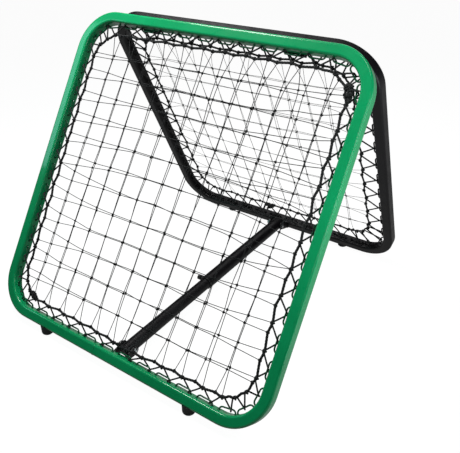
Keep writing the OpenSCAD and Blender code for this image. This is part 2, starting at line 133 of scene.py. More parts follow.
def frames(p, closed=False, first=None):
    """Tangents and rotation-free normals along a line of points."""
    if closed:
        t = np.roll(p, -1, 0) - np.roll(p, 1, 0)
    else:
        t = np.empty_like(p)
        t[1:-1] = p[2:] - p[:-2]
        t[0], t[-1] = p[1] - p[0], p[-1] - p[-2]
    t /= np.linalg.norm(t, axis=1)[:, None] + 1e-12
    v = np.array([0.13, 0.2, 1.0]) if first is None else np.array(first, float)
    if abs(np.dot(v / np.linalg.norm(v), t[0])) > 0.95:
        v = np.array([1.0, 0.3, 0.1])
    out = np.empty_like(p)
    for i in range(len(p)):
        v = v - np.dot(v, t[i]) * t[i]
        v /= np.linalg.norm(v) + 1e-12
        out[i] = v
    return t, out, np.cross(t, out)


def tube(b, p, r, n=8, closed=False, radius=None, caps=True):
    """A round cord or wire along p. radius(angle, arc length) may shape it."""
    p = np.asarray(p, float)
    t, u, w = frames(p, closed)
    m = len(p)
    seg = np.linalg.norm(np.diff(p, axis=0), axis=1)
    arc = np.concatenate([[0], np.cumsum(seg)])
    if closed:  # share the leftover twist out over the whole loop
        ua = u[-1] - np.dot(u[-1], t[0]) * t[0]
        ua /= np.linalg.norm(ua)
        left = math.atan2(np.dot(np.cross(ua, u[0]), t[0]), np.dot(ua, u[0]))
        turn = left * arc / arc[-1]
    else:
        turn = np.zeros(m)
    a = np.arange(n) * 2 * math.pi / n
    th = a[None, :] + turn[:, None]
    rr = np.full((m, n), 1.0) * (np.asarray(r).reshape(-1, 1) if np.ndim(r) else r)
    if radius is not None:
        rr = rr * radius(th, arc[:, None])
    v = p[:, None, :] + rr[..., None] * (np.cos(th)[..., None] * u[:, None, :] + np.sin(th)[..., None] * w[:, None, :])
    v = v.reshape(-1, 3)
    rows = m if closed else m - 1
    i = np.arange(rows)[:, None]
    k = np.arange(n)[None, :]
    j = (i + 1) % m
    k2 = (k + 1) % n
    f = np.stack([i * n + k, j * n + k, j * n + k2, i * n + k2], -1).reshape(-1, 4)
    a0 = np.broadcast_to(arc[:rows, None], (rows, n))
    end = np.concatenate([arc, [arc[-1] + np.linalg.norm(p[0] - p[-1])]])
    a1 = np.broadcast_to(end[1:rows + 1, None], (rows, n))
    k0 = np.broadcast_to(k / n, (rows, n))
    uv = np.stack([np.stack([a0, k0], -1), np.stack([a1, k0], -1), np.stack([a1, k0 + 1 / n], -1),
                   np.stack([a0, k0 + 1 / n], -1)], 2).reshape(-1, 4, 2)
    if caps and not closed:
        c0, c1 = len(v), len(v) + 1
        e0, e1 = p[0] - t[0] * np.mean(rr[0]) * 0.5, p[-1] + t[-1] * np.mean(rr[-1]) * 0.5
        v = np.concatenate([v, [e0, e1]])
        q0, q1 = [], []
        for s in range(0, n, 2):
            q0.append([c0, (s + 2) % n, (s + 1) % n, s])
            q1.append([c1, (m - 1) * n + s, (m - 1) * n + (s + 1) % n, (m - 1) * n + (s + 2) % n])
        f = np.concatenate([f, np.array(q0 + q1)])
        uv = np.concatenate([uv, np.zeros((len(q0) + len(q1), 4, 2))])
    b.add(v, f, uv)


def smooth(p, k=4, closed=False):
    """A centripetal-like spline through the points."""
    p = np.asarray(p, float)
    if closed:
        q = np.concatenate([p[-1:], p, p[:2]])
    else:
        q = np.concatenate([[2 * p[0] - p[1]], p, [2 * p[-1] - p[-2]]])
    out = []
    t = np.linspace(0, 1, k, endpoint=False)[:, None]
    for i in range(1, len(q) - 2):
        a, b_, c, d = q[i - 1], q[i], q[i + 1], q[i + 2]
        l = np.linalg.norm(c - b_)
        m0 = (c - a) / (np.linalg.norm(c - a) + 1e-9) * l
        m1 = (d - b_) / (np.linalg.norm(d - b_) + 1e-9) * l
        out.append((2 * t**3 - 3 * t**2 + 1) * b_ + (t**3 - 2 * t**2 + t) * m0 + (-2 * t**3 + 3 * t**2) * c + (t**3 - t**2) * m1)
    if not closed:
        out.append(p[-1:])
    return np.concatenate(out)


def chaikin(p, times=2):
    for _ in range(times):
        a, b_ = p[:-1], p[1:]
        q = np.empty((2 * len(a), 3))
        q[0::2], q[1::2] = 0.75 * a + 0.25 * b_, 0.25 * a + 0.75 * b_
        p = np.concatenate([p[:1], q, p[-1:]])
    return p


# ------------------------------------------------------------------ materials
def tree(name):
    m = bpy.data.materials.new(name)
    m.use_nodes = True
    nt = m.node_tree
    return m, nt, nt.nodes["Principled BSDF"]


def node(nt, kind, **values):
    n = nt.nodes.new(kind)
    for k, v in values.items():
        if hasattr(n, k):
            setattr(n, k, v)
        else:
            n.inputs[k.replace("_", " ")].default_value = v
    return n


def noise(nt, scale, detail=3.0, rough=0.5, coord="Object", stretch=None):
    tc = node(nt, "ShaderNodeTexCoord")
    src = tc.outputs[coord]
    if stretch:
        mp = node(nt, "ShaderNodeMapping")
        mp.inputs["Scale"].default_value = stretch
        nt.links.new(src, mp.inputs["Vector"])
        src = mp.outputs["Vector"]
    n = node(nt, "ShaderNodeTexNoise")
    n.inputs["Scale"].default_value = scale
    n.inputs["Detail"].default_value = detail
    n.inputs["Roughness"].default_value = rough
    nt.links.new(src, n.inputs["Vector"])
    return n.outputs["Fac"]


def ramp(nt, fac, stops):
    r = node(nt, "ShaderNodeValToRGB")
    e = r.color_ramp.elements
    while len(e) < len(stops):
        e.new(0.5)
    for i, (pos, col) in enumerate(stops):
        e[i].position = pos
        e[i].color = (*col, 1.0) if len(col) == 3 else col
    nt.links.new(fac, r.inputs["Fac"])
    return r.outputs["Color"]


def spread(nt, fac, lo, hi, a=0.3, b=0.7):
    m = node(nt, "ShaderNodeMapRange")
    m.inputs["From Min"].default_value = a
    m.inputs["From Max"].default_value = b
    m.inputs["To Min"].default_value = lo
    m.inputs["To Max"].default_value = hi
    nt.links.new(fac, m.inputs["Value"])
    return m.outputs["Result"]


def bump(nt, bsdf, fac, strength, distance, under=None, edge=None):
    b = node(nt, "ShaderNodeBump")
    b.inputs["Strength"].default_value = strength
    b.inputs["Distance"].default_value = distance
    nt.links.new(fac, b.inputs["Height"])
    if under is not None:
        nt.links.new(under, b.inputs["Normal"])
    elif edge:
        e = node(nt, "ShaderNodeBevel")
        e.samples = 4
        e.inputs["Radius"].default_value = edge
        nt.links.new(e.outputs["Normal"], b.inputs["Normal"])
    nt.links.new(b.outputs["Normal"], bsdf.inputs["Normal"])
    return b.outputs["Normal"]


def paint(name, dark, light, rough, coat, edge=None, scuff=0.0, gloss=0.5):
    m, nt, s = tree(name)
    col = ramp(nt, noise(nt, 9.0, 4.0, 0.6), [(0.3, dark), (0.7, light)])
    if scuff:
        sc = ramp(nt, noise(nt, 120.0, 6.0, 0.75, stretch=(1.0, 0.35, 1.0)), [(0.66, (0, 0, 0)), (0.76, (scuff, scuff, scuff))])
        mix = node(nt, "ShaderNodeMix")
        mix.data_type = "RGBA"
        mix.blend_type = "ADD"
        mix.inputs["Factor"].default_value = 1.0
        nt.links.new(col, mix.inputs[6])
        nt.links.new(sc, mix.inputs[7])
        col = mix.outputs[2]
    nt.links.new(col, s.inputs["Base Color"])
    nt.links.new(spread(nt, noise(nt, 38.0, 5.0, 0.6), rough - 0.06, rough + 0.09), s.inputs["Roughness"])
    s.inputs["Coat Weight"].default_value = coat
    s.inputs["Coat Roughness"].default_value = 0.08
    s.inputs["Specular IOR Level"].default_value = gloss
    n1 = bump(nt, s, noise(nt, 900.0, 2.0, 0.5), 0.03, 0.0002, edge=edge)
    bump(nt, s, noise(nt, 90.0, 2.0, 0.5), 0.03, 0.0008, under=n1)
    return m


GREEN_D, GREEN_L = (0.0035, 0.330, 0.110), (0.0055, 0.385, 0.134)
BLACK_D, BLACK_L = (0.0036, 0.0029, 0.0038), (0.0066, 0.0054, 0.0070)
M = {}
M["green"] = paint("green_enamel", GREEN_D, GREEN_L, 0.30, 0.55, gloss=0.14)
M["green_part"] = paint("green_enamel_small", GREEN_D, GREEN_L, 0.32, 0.12, edge=0.0006, gloss=0.14)
# the arch wire's green is a darker copy of the frame's green: painted shade for arches lying in the rail's shadow
M["green_wire"] = paint("green_enamel_wire", (0.002, 0.075, 0.029), (0.003, 0.100, 0.039), 0.34, 0.25, gloss=0.25)
M["black_wire"] = paint("black_enamel_wire", BLACK_D, BLACK_L, 0.42, 0.1, gloss=0.3)
M["black"] = paint("black_enamel", BLACK_D, BLACK_L, 0.42, 0.06, gloss=0.3)
M["black_part"] = paint("black_enamel_small", BLACK_D, BLACK_L, 0.44, 0.05, edge=0.0006, gloss=0.3)
M["black_tube"] = paint("black_strut_enamel", BLACK_D, BLACK_L, 0.42, 0.05, scuff=0.008, gloss=0.3)


def zinc():
    m, nt, s = tree("zinc_plate")
    col = ramp(nt, noise(nt, 160.0, 5.0, 0.7), [(0.3, (0.34, 0.35, 0.36)), (0.55, (0.52, 0.53, 0.54)), (0.75, (0.60, 0.58, 0.52))])
    nt.links.new(col, s.inputs["Base Color"])
    s.inputs["Metallic"].default_value = 1.0
    nt.links.new(spread(nt, noise(nt, 300.0, 4.0, 0.6), 0.26, 0.46), s.inputs["Roughness"])
    bump(nt, s, noise(nt, 1500.0, 2.0, 0.5), 0.12, 0.0001, edge=0.0003)
    return m


def moulded(name, dark, light, rough, grain, edge=0.0005, soft=0.0):
    m, nt, s = tree(name)
    nt.links.new(ramp(nt, noise(nt, 60.0, 4.0, 0.6), [(0.3, dark), (0.7, light)]), s.inputs["Base Color"])
    nt.links.new(spread(nt, noise(nt, 140.0, 3.0, 0.6), rough - 0.07, rough + 0.08), s.inputs["Roughness"])
    if soft:
        s.inputs["Subsurface Weight"].default_value = soft
        s.inputs["Subsurface Scale"].default_value = 0.002
    bump(nt, s, noise(nt, grain, 4.0, 0.6), 0.25, 0.0002, edge=edge)
    return m


M["zinc"] = zinc()
M["rubber"] = moulded("foot_rubber", (0.006, 0.006, 0.006), (0.014, 0.013, 0.013), 0.72, 700.0)
M["plastic"] = moulded("black_moulding", (0.006, 0.006, 0.007), (0.011, 0.011, 0.012), 0.44, 1400.0)
M["nylon"] = moulded("white_nylon", (0.62, 0.60, 0.54), (0.72, 0.70, 0.65), 0.42, 900.0, soft=0.2)


def twine(name, pitch, plies, dark, light, depth):
    """Laid cord: helical grooves from the UV map, whose u is the length in metres and v the turn; the grooves are
    coloured darker than the plies' crowns as painted shade.
    """
    m, nt, s = tree(name)
    tc = node(nt, "ShaderNodeTexCoord")
    sep = node(nt, "ShaderNodeSeparateXYZ")
    nt.links.new(tc.outputs["UV"], sep.inputs["Vector"])
    a = node(nt, "ShaderNodeMath", operation="MULTIPLY")
    nt.links.new(sep.outputs["X"], a.inputs[0])
    a.inputs[1].default_value = plies / pitch
    b = node(nt, "ShaderNodeMath", operation="MULTIPLY_ADD")
    nt.links.new(sep.outputs["Y"], b.inputs[0])
    b.inputs[1].default_value = float(plies)
    nt.links.new(a.outputs[0], b.inputs[2])
    c = node(nt, "ShaderNodeMath", operation="MULTIPLY")
    nt.links.new(b.outputs[0], c.inputs[0])
    c.inputs[1].default_value = 2 * math.pi
    d = node(nt, "ShaderNodeMath", operation="COSINE")
    nt.links.new(c.outputs[0], d.inputs[0])
    f = spread(nt, d.outputs[0], 0.0, 1.0, -1.0, 1.0)
    fib = noise(nt, 2400.0, 3.0, 0.7)
    mix = node(nt, "ShaderNodeMath", operation="MULTIPLY_ADD")
    nt.links.new(fib, mix.inputs[0])
    mix.inputs[1].default_value = 0.45
    nt.links.new(f, mix.inputs[2])
    # colour: dark in the helical grooves and light on the crowns is painted shade in the grooves; the fibre noise is
    # the cord's own tone
    nt.links.new(ramp(nt, mix.outputs[0], [(0.15, dark), (1.0, light)]), s.inputs["Base Color"])
    s.inputs["Roughness"].default_value = 0.78
    s.inputs["Sheen Weight"].default_value = 0.12
    s.inputs["Specular IOR Level"].default_value = 0.3
    bump(nt, s, mix.outputs[0], 0.7, depth)
    return m


M["twine"] = twine("net_twine", 0.006, 2, (0.0025, 0.0025, 0.003), (0.009, 0.009, 0.010), 0.0003)
M["rope"] = twine("border_rope", 0.018, 3, (0.0025, 0.0025, 0.003), (0.011, 0.011, 0.012), 0.0005)
M["lace"] = twine("lacing_cord", 0.009, 8, (0.003, 0.003, 0.0035), (0.012, 0.012, 0.013), 0.0003)


def put(o, mat, slot, body=None, *nodes):
    o.data.materials.clear()
    o.data.materials.append(M[mat])
    if body:
        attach(o, body)
    if nodes:
        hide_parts(*nodes)
    return o


# ------------------------------------------------------------------ tube frames
def rounded_section(w, d, r, k=7):
    """Corner arcs with a support vertex at each end, so that the flats shade flat."""
    pts = []
    for cx, cy, a0 in ((1, 1, 0), (-1, 1, 90), (-1, -1, 180), (1, -1, 270)):
        for a in np.linspace(a0, a0 + 90, k):
            t = math.radians(a)
            pts.append((cx * (w / 2 - r) + r * math.cos(t), cy * (d / 2 - r) + r * math.sin(t)))
        t = math.radians(a0 + 90)
        step = (-math.sin(t), math.cos(t))
        pts.append((pts[-1][0] + step[0] * 0.0012, pts[-1][1] + step[1] * 0.0012))
        nx, ny = {0: (-1, 1), 90: (-1, -1), 180: (1, -1), 270: (1, 1)}[a0]
        t2 = math.radians(a0 + 90)
        q = (nx * (w / 2 - r) + r * math.cos(t2) - step[0] * 0.0012, ny * (d / 2 - r) + r * math.sin(t2) - step[1] * 0.0012)
        pts.append(q)
    return np.array(pts)


def tube_frame(side, mat, slot):
    path = Loop(side.size, TW / 2, BEND - TW / 2)
    us = []
    step = 2 * path.a + math.pi * path.r / 2
    for i in range(4):
        u0 = i * step - path.a
        us += list(u0 + np.concatenate([[0.001], np.linspace(0.03, 2 * path.a - 0.03, 9), [2 * path.a - 0.001]]))
        us += list(u0 + 2 * path.a + np.linspace(0, math.pi * path.r / 2, 26))
    us = np.array(sorted(us))
    x, s, tx, ts, nx, ns = path.at(us)
    sec = rounded_section(TW, D, 0.005)
    m, n = len(us), len(sec)
    X = x[:, None] + nx[:, None] * sec[None, :, 0]
    S = s[:, None] + ns[:, None] * sec[None, :, 0]
    Q = np.broadcast_to(D / 2 + sec[None, :, 1], X.shape)
    v = side.to(X, S, Q).reshape(-1, 3)
    i, k = np.arange(m)[:, None], np.arange(n)[None, :]
    f = np.stack([i * n + k, i * n + (k + 1) % n, ((i + 1) % m) * n + (k + 1) % n, ((i + 1) % m) * n + k], -1).reshape(-1, 4)
    uv = np.zeros((len(f), 4, 2))
    b = Build()
    b.add(v, f, uv)
    # the welded butt joint of the tube, a low bead round the bottom rail under the strut bracket's left
    ring = []
    for a in range(n):
        p0 = sec[a]
        ring.append(side.to(np.array(-0.052), np.array(TW / 2 + p0[0] * 1.002), np.array(D / 2 + p0[1] * 1.002)))
    tube(b, np.array(ring), 0.00075, 6, closed=True)
    o = b.obj(side.name + "_frame_tube")
    return put(o, mat, slot, side.body, side.name + "_tube_frame")


# ------------------------------------------------------------------ lace loops and lacing
ARCH_W, ARCH_H, ARCH_WIRE, ARCH_SUNK = 0.038, 0.008, 0.00175, 0.0005


class Lace:
    """Where the wire arches stand along the tube's inner face, and where the cord turns at them and at the rope."""

    def __init__(self, side):
        self.side = side
        self.face = f = Loop(side.size, TW, BEND - TW)
        whole = 2 * f.a + math.pi * f.r / 2
        n = side.n
        inner = ARCH_W / 2 - ARCH_H + 0.0036
        self.arches, self.turns = [], []
        for i in range(4):
            cs = [(k - (n - 1) / 2) * ARCH for k in range(n)]
            if side is FRONT and i == 0:  # the strut's bracket parts the lacing into two runs
                ts = [(k - (n - 1) / 2) * MESH + (-MESH / 2 if k < n / 2 else MESH / 2) for k in range(n)]
            else:
                ts = [c + side.slip[i] + rng.uniform(-0.002, 0.002) for c in cs]
            if side is FRONT:
                cs, ts = cs + [whole / 2], ts + [whole / 2]
            else:
                e = f.a + f.r * math.pi / 8
                cs, ts = [-e] + cs + [e], [-e] + ts + [e]
            self.arches += [i * whole + c for c in cs]
            self.turns += [i * whole + c + min(max(t - c, -inner), inner) for c, t in zip(cs, ts)]
        # the places on the rope before each turn, as lengths along the tube's face
        self.holds = []
        for j, t in enumerate(self.turns):
            b = self.turns[j - 1] - (4 * whole if j == 0 else 0)
            if t - b > 0.075:
                self.holds.append([b + MESH / 2 + 0.003, t - MESH / 2 - 0.003])
            else:
                i = int(((t + b) / 2 + whole / 2) // whole) % 4
                self.holds.append([b + side.share[i] * (t - b)])

    def base(self, u):
        """Middle of the chord between an arch's feet, with the chord's direction and the way inwards, in the frame's plane."""
        p = [np.array(self.face.at(u + e)[:2], float) for e in (-ARCH_W / 2, ARCH_W / 2)]
        t = (p[1] - p[0]) / np.linalg.norm(p[1] - p[0])
        return (p[0] + p[1]) / 2, t, np.array([-t[1], t[0]])

    def apex(self, j, along=0.0):
        s = ARCH_W / 2 - ARCH_H
        room = ARCH_H - ARCH_WIRE - LACE_R - 0.0001
        off = min(max(self.turns[j] - self.arches[j] + along, -s - 0.0038), s + 0.0038)
        h = -ARCH_SUNK + (room if abs(off) < s else math.sqrt(room * room - (abs(off) - s) ** 2))
        m, t, n = self.base(self.arches[j])
        return m + off * t + h * n, t, n


def lace_loops(side, lace, mat, slot):
    b = Build()
    s = ARCH_W / 2 - ARCH_H
    for u in lace.arches:
        m, t2, n2 = lace.base(u)
        lean = rng.uniform(-0.035, 0.035)
        t3 = t2[0] * side.ex + t2[1] * side.es
        n3 = (n2[0] * side.ex + n2[1] * side.es) * math.cos(lean) + side.eq * math.sin(lean)
        c = side.to(m[0], m[1], np.array(D / 2)) - n3 * ARCH_SUNK
        w, h = 1 + rng.uniform(-0.015, 0.015), 1 + rng.uniform(-0.03, 0.02)
        pts = [c + t3 * ARCH_W / 2 * w - n3 * 0.0012]
        for a in np.linspace(0, 90, 9):
            q = math.radians(a)
            pts.append(c + t3 * (s + ARCH_H * math.cos(q)) * w + n3 * ARCH_H * math.sin(q) * h)
        for x in np.linspace(s, -s, 5)[1:-1]:
            pts.append(c + t3 * x * w + n3 * (ARCH_H * h - 0.0002 * (1 - (x / s) ** 2)))
        for a in np.linspace(90, 180, 9):
            q = math.radians(a)
            pts.append(c + t3 * (-s + ARCH_H * math.cos(q)) * w + n3 * ARCH_H * math.sin(q) * h)
        pts.append(c - t3 * ARCH_W / 2 * w - n3 * 0.0012)
        tube(b, np.array(pts), ARCH_WIRE, 12)
        for e in (-1, 1):  # weld fillets at the wire's two feet
            f0 = c + e * t3 * ARCH_W / 2 * w + n3 * ARCH_SUNK
            ring = []
            for a in np.linspace(0, 2 * math.pi, 14, endpoint=False):
                k = 1 + 0.10 * math.sin(3 * a + u * 400)
                ring.append(f0 + (t3 * math.cos(a) + side.eq * math.sin(a)) * 0.0021 * k + n3 * 0.0002)
            tube(b, np.array(ring), 0.0010, 6, closed=True)
    return put(b.obj(side.name + "_laceloops"), mat, slot, side.body, side.name + "_lace_loops")


def rope_line(side):
    """The border rope's middle line, drawn in at the strands and out at the lacing."""
    loop = Loop(side.size, side.inset, side.rope_r, side.shift)
    dense = np.linspace(0, loop.length, 8000, endpoint=False)
    X, S = loop.at(dense)[:2]
    return loop, dense, X, S


class Net:
    def __init__(self, side, lace):
        self.side = side
        self.loop, self.dense, self.X, self.S = rope_line(side)
        n = side.n
        self.g = (np.arange(n) - (n - 1) / 2) * MESH
        self.half = side.size / 2 - side.inset
        self.ph = rng.uniform(0, 6.28, (2, 6))
        self.jit = rng.normal(0, 0.0009, (2, n, n, 2))
        self.set_rope(lace)
        self.plan()

    def warp(self, layer, x, s):
        """In-plane shift of a net point (x and s from the middle)."""
        p, h = self.ph[layer], self.half
        q = self.ph[0]
        dx = 0.0012 * math.sin(3.1 * s / h + q[0]) * math.cos(1.7 * x / h + q[1]) + 0.0008 * math.sin(6.0 * s / h + p[2])
        ds = 0.0020 * math.cos(2.3 * x / h + q[3]) * math.sin(2.0 * s / h + q[4]) + 0.0009 * math.sin(5.2 * x / h + p[5])
        k = (max(0.0, 1 - (x / h) ** 2) * max(0.0, 1 - (s / h) ** 2)) ** 0.5
        lean = self.side.lean
        return dx * k + lean[0] + lean[1] * s / h, ds * k

    def edge(self, d, upright):
        d = max(d, 0.0)
        if upright:
            return 0.58 * math.exp(-d / 0.025) + 0.42 * math.exp(-d / 0.37)
        return math.exp(-((d / 0.118) ** 1.3))

    def fork(self, layer, k, along, table):
        """How far this layer's strand k is drawn aside at this place along it; the uprights stay apart further in."""
        up = table is self.fork_v
        if self.side is REAR:
            keep = 0.15
        else:
            keep = min(1.0, max(0.1, 0.3 * (k - 1))) if up else 1.0
        out = 0.0
        for e, d in enumerate((along + self.half, self.half - along)):
            near = math.exp(-max(d, 0.0) / 0.025)
            out += self.edge(d, up) * (keep + (1 - keep) * near) * table[layer][e][k]
        return out

    def plan(self):
        """Tie each strand's two ends: one layer's where the lacing holds the rope, the other's at the rope's next peak."""
        c, n, L = self.side.size / 2, self.side.n, self.loop.length
        self.fork_v, self.fork_h = np.zeros((2, 2, n)), np.zeros((2, 2, n))
        self.ends = []
        hx, hs = self.loop.at(self.held)[:2]
        px, ps = self.loop.at(self.peaks)[:2]
        for k, g in enumerate(self.g):
            for e, low in enumerate((True, False)):
                end = -self.half if low else self.half
                for d in "vh":
                    at = g + (self.warp(0, g, end)[0] if d == "v" else 0.0)
                    if d == "v":
                        mid = np.array([at, c + end])
                    else:
                        mid = np.array([end, c + at])
                    pick = []
                    for X, S, U in ((hx, hs, self.held), (px, ps, self.peaks)):
                        a, b = (X, S) if d == "v" else (S - c, X)
                        cross = np.abs((S - mid[1]) if d == "v" else (X - mid[0]))
                        j = int(np.argmin(np.abs(a - at) + np.where(cross > 0.12, 9, 0)))
                        pick.append((float(a[j]) - at, float(U[j])))
                    for layer in (0, 1):
                        off, u = pick[layer]
                        off += rng.uniform(-0.0015, 0.0015)
                        (self.fork_v if d == "v" else self.fork_h)[layer][e][k] = off
                        self.ends.append((layer, d, k, low, u))

    def set_rope(self, lace):
        """Hold the rope out towards the tube where the lacing turns round it, with a peak inwards between each two holds."""
        L = self.loop.length
        at = []
        for group in lace.holds:
            for u in group:
                x, s = lace.face.at(u)[:2]
                at.append(self.dense[int(np.argmin(np.hypot(self.X - x, self.S - s)))])
        self.held_list = at
        self.held = np.sort(np.array(at) % L)
        nxt = np.append(self.held[1:], self.held[0] + L)
        self.peaks = np.mod(self.held + (0.59 + rng.uniform(-0.05, 0.05, len(self.held))) * (nxt - self.held), L)
        us = np.concatenate([self.held, self.peaks])
        rail = np.mod(np.floor(us / L * 4 + 0.5).astype(int), 4)
        out, inn = np.array(self.side.draw)[rail].T
        ds = np.where(np.arange(len(us)) < len(self.held), -out * rng.uniform(0.8, 1.2, len(us)), inn * rng.uniform(0.6, 1.4, len(us)))
        order = np.argsort(us)
        us, ds = us[order], ds[order]
        grid = np.linspace(0, L, 2400, endpoint=False)
        off = np.interp(grid, np.concatenate([us - L, us, us + L]), np.tile(ds, 3))
        ker = np.hanning(7)
        ker /= ker.sum()
        off = np.convolve(np.concatenate([off[-8:], off, off[:8]]), ker, "same")[8:-8]
        for a, width, d in self.side.pulls:
            gap = np.mod(grid - a * L + L / 2, L) - L / 2
            off = off + d * np.exp(-(gap / width) ** 2)
        wob = 0.0006 * np.sin(grid / L * 2 * math.pi * 37 + 1.3) + 0.0005 * np.sin(grid / L * 2 * math.pi * 23)
        self.grid, self.off, self.qoff = grid, off, wob

    def rope_at(self, u, extra=0.0, dq=0.0):
        L = self.loop.length
        u = np.mod(u, L)
        x, s, tx, ts, nx, ns = self.loop.at(u)
        o = np.interp(u, np.append(self.grid, L), np.append(self.off, self.off[0])) + extra
        w = np.interp(u, np.append(self.grid, L), np.append(self.qoff, self.qoff[0])) + dq
        return self.side.to(x + nx * o, s + ns * o, D / 2 + w)

    def point(self, layer, kx, ks):
        x, s = self.g[kx], self.g[ks]
        dx, ds = self.warp(layer, x, s)
        x2 = x + dx + self.fork(layer, kx, s, self.fork_v) + self.jit[layer, kx, ks, 0]
        s2 = s + ds + self.fork(layer, ks, x, self.fork_h) + self.jit[layer, kx, ks, 1]
        h = self.half
        sag = self.side.sag * max(0, 1 - (x / h) ** 2) * max(0, 1 - (s / h) ** 2)
        q = D / 2 + (-0.0011 if layer == 0 else 0.0011) + sag
        return self.side.to(np.array(x2), np.array(s2 + self.side.size / 2), np.array(q))

    def inside(self, kx, ks):
        """False for a corner crossing outside the rope's rounded corner."""
        x, s = abs(self.g[kx]), abs(self.g[ks])
        a = self.half - self.side.rope_r
        if x > a and s > a:
            return math.hypot(x - a, s - a) < self.side.rope_r - 0.006
        return True

    def build(self):
        n = self.side.n
        for layer, tag in ((0, "face"), (1, "back")):
            b = Build()
            ends = {(d, k, low): u for (l, d, k, low, u) in self.ends if l == layer}
            sign = -1 if layer == 0 else 1
            for d in "vh":
                for k in range(n):
                    pts = [self.point(layer, k, j) if d == "v" else self.point(layer, j, k) for j in range(n)
                           if (self.inside(k, j) if d == "v" else self.inside(j, k))]
                    a = self.rope_at(ends[(d, k, True)], 0.0018, sign * 0.0014)
                    z = self.rope_at(ends[(d, k, False)], 0.0018, sign * 0.0014)
                    line = smooth(np.array([a] + pts + [z]), 4)
                    tube(b, line, STRAND_R[self.side.name], 7)
                    for e in (True, False):
                        self.hitch(b, ends[(d, k, e)], layer)
            for i in range(n):
                for j in range(n):
                    if self.inside(i, j):
                        self.knot(b, self.point(layer, i, j), layer)
            o = b.obj(self.side.name + "_net_" + tag + "_twine")
            put(o, "twine", "net_cord", self.side.body, self.side.name + "_net_" + tag)

    def hitch(self, b, u, layer):
        """The strand's end tied round the rope in three turns."""
        c, c2 = self.rope_at(u), self.rope_at(u + 0.001)
        t = (c2 - c) / np.linalg.norm(c2 - c)
        v = self.side.eq
        w = np.cross(t, v)
        w /= np.linalg.norm(w)
        ang = np.linspace(0, 6 * math.pi, 34)
        shift = np.linspace(-0.0017, 0.0017, 34)
        p = c + t * shift[:, None] + (ROPE_R + 0.0006) * (np.cos(ang)[:, None] * w + np.sin(ang)[:, None] * v)
        tube(b, p, 0.00082, 6)

    def knot(self, b, c, layer):
        """A small netting knot: a trefoil of twine pulled tight."""
        t = np.linspace(0, 2 * math.pi, 20, endpoint=False)
        r = rng.uniform(0, 6.28)
        k = rng.uniform(0.82, 1.08) * (0.00092 if self.side is FRONT else 0.00074)
        x, y, z = np.sin(t) + 2 * np.sin(2 * t), np.cos(t) - 2 * np.cos(2 * t), -1.1 * np.sin(3 * t)
        X, Y = x * math.cos(r) - y * math.sin(r), x * math.sin(r) + y * math.cos(r)
        p = c + k * (X[:, None] * self.side.ex + Y[:, None] * self.side.es + z[:, None] * self.side.eq)
        tube(b, p, 0.00088 if self.side is FRONT else 0.00068, 5, closed=True)


def border_rope(side, net):
    L = net.loop.length
    m = int(L / 0.0017)
    u = np.linspace(0, L, m, endpoint=False)
    p = net.rope_at(u)
    b = Build()
    pitch = L / round(L / 0.019)
    tube(b, p, ROPE_R if side is FRONT else ROPE_R * 0.84, 15, closed=True,
         radius=lambda th, a: 0.95 + 0.08 * np.cos(3 * (th - 2 * math.pi * a / pitch)) + 0.03 * np.sin(a * 900))
    return put(b.obj(side.name + "_rope"), "rope", "rope_cord", side.body, side.name + "_border_rope")


def lacing(side, net, lace):
    """Round the rope, out through an arch from back to front, back to the rope, and so on round the frame."""
    pts = []
    w = 0.0031
    middle = side.to(np.array(0.0), np.array(side.size / 2), np.array(D / 2))
    i = 0
    for j, group in enumerate(lace.holds):
        for _ in group:
            r = net.held_list[i]
            i += 1
            half = rng.uniform(0.0024, 0.0040)
            for k, a in enumerate(np.linspace(120, -120 - 360, 17)):
                e = (k / 16 - 0.5) * 2 * half
                c, c2 = net.rope_at(r + e), net.rope_at(r + e + 0.001)
                t = (c2 - c) / np.linalg.norm(c2 - c)
                inward = np.cross(t, side.eq)
                if np.dot(inward, middle - c) < 0:
                    inward = -inward
                q = math.radians(a)
                pts.append(c + w * (math.cos(q) * inward - math.sin(q) * side.eq))
        jit = rng.uniform(-0.0012, 0.0012)
        for q, h, al in ((0.0042, 0.0010, -0.0024), (0.0020, 0.0, -0.0010), (-0.0020, 0.0, 0.0010), (-0.0042, 0.0010, 0.0024)):
            mid, t2, n2 = lace.apex(j, jit + al)
            p = mid + n2 * h
            pts.append(side.to(p[0], p[1], np.array(D / 2 + q)))
    p = smooth(np.array(pts), 3)
    b = Build()
    tube(b, p, LACE_R, 9, radius=lambda th, a: 1 + 0.05 * np.sin(8 * th + a * 2100))
    return put(b.obj(side.name + "_lacing"), "lace", "rope_cord", side.body, side.name + "_lacing_cord")


